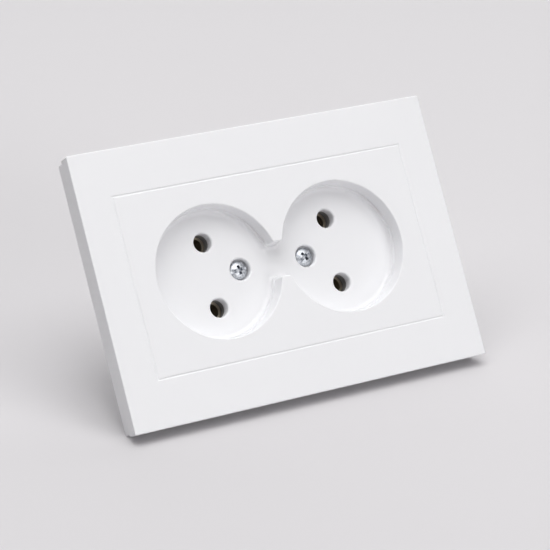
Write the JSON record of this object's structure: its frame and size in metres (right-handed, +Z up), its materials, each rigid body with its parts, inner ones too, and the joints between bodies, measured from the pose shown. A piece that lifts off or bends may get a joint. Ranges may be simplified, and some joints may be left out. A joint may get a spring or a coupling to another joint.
{
  "type": "double socket outlet",
  "caption": "White flush wall outlet: moulded plate with joined round plug wells, pin holes and cover screws, on a steel bracket with a grey contact base, terminals and swinging claws.",
  "frame": {"origin": "middle of the line between the box-screw slots, in the wall plane that the bracket and the cover's rim sit on", "axes": "+X to the right along the plate, +Y into the wall, +Z up; the front faces -Y"},
  "size_m": [0.1128, 0.0346, 0.0786],
  "materials": {
    "white_abs": "smooth moulded gloss",
    "grey_thermoplastic": "moulded, matt",
    "zinc_steel": "pressed sheet, zinc plated",
    "screw_steel": "turned, bright zinc plated",
    "brass": "rolled strip"
  },
  "bodies": {
    "socket": {"front_cover": "white_abs", "mounting_bracket": "zinc_steel", "contact_base": "grey_thermoplastic", "contact_retainer": "grey_thermoplastic", "cover_screw_left": "screw_steel", "cover_screw_right": "screw_steel", "cover_nut_left": "zinc_steel", "cover_nut_right": "zinc_steel", "upper_contact_strip": "brass", "lower_contact_strip": "brass", "bracket_rivet_upper_left": "zinc_steel", "bracket_rivet_upper_right": "zinc_steel", "bracket_rivet_lower_left": "zinc_steel", "bracket_rivet_lower_right": "zinc_steel", "wire_clamp_upper_left": "zinc_steel", "wire_clamp_upper_right": "zinc_steel", "wire_clamp_lower_left": "zinc_steel", "wire_clamp_lower_right": "zinc_steel", "terminal_screw_upper_left": "screw_steel", "terminal_screw_upper_right": "screw_steel", "terminal_screw_lower_left": "screw_steel", "terminal_screw_lower_right": "screw_steel"},
    "upper_claw": {"claw_upper": "zinc_steel", "claw_screw_upper": "screw_steel"},
    "lower_claw": {"claw_lower": "zinc_steel", "claw_screw_lower": "screw_steel"}
  },
  "joints": [
    {"name": "upper_claw_swing", "type": "hinge", "parent": "socket", "child": "upper_claw", "pos_m": [0, -0.00289, 0.0215], "axis": [1, 0, 0], "range_deg": [0, 18]},
    {"name": "lower_claw_swing", "type": "hinge", "parent": "socket", "child": "lower_claw", "pos_m": [0, -0.00289, -0.0215], "axis": [-1, 0, 0], "range_deg": [0, 18]}
  ]
}
